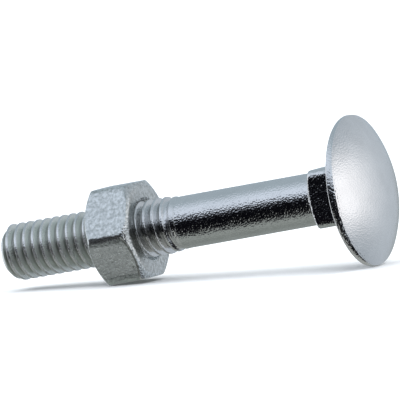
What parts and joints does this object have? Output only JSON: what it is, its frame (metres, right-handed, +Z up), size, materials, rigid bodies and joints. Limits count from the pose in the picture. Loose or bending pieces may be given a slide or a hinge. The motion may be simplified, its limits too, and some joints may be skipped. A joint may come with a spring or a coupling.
{
  "type": "carriage bolt with nut",
  "caption": "Carriage bolt with a low domed round head, a square neck, a plain shank and a coarse thread, lying on its side with a hexagon nut run part of the way up the thread.",
  "frame": {"origin": "on the floor, under the middle of the bolt's length and width, where it lies on its head's rim and on the nut", "axes": "+Z up, +X along the bolt from the threaded tip to the head; the bolt's axis lies in the XZ plane and rises towards the head by 5.632 degrees"},
  "size_m": [0.0436, 0.0158, 0.0157],
  "materials": {
    "bolt_steel": "bright blue-white zinc plating over cold-forged steel, with a fine orange-peel grain",
    "nut_steel": "zinc plating over pressed steel, a shade duller than the bolt"
  },
  "bodies": {
    "bolt_body": {"bolt": "bolt_steel"},
    "nut_body": {"nut": "nut_steel"}
  },
  "joints": [
    {"name": "nut_travel", "type": "slide", "parent": "bolt_body", "child": "nut_body", "axis": [0.9952, 0, 0.0981], "range_m": [-0.011, 0.002]}
  ]
}
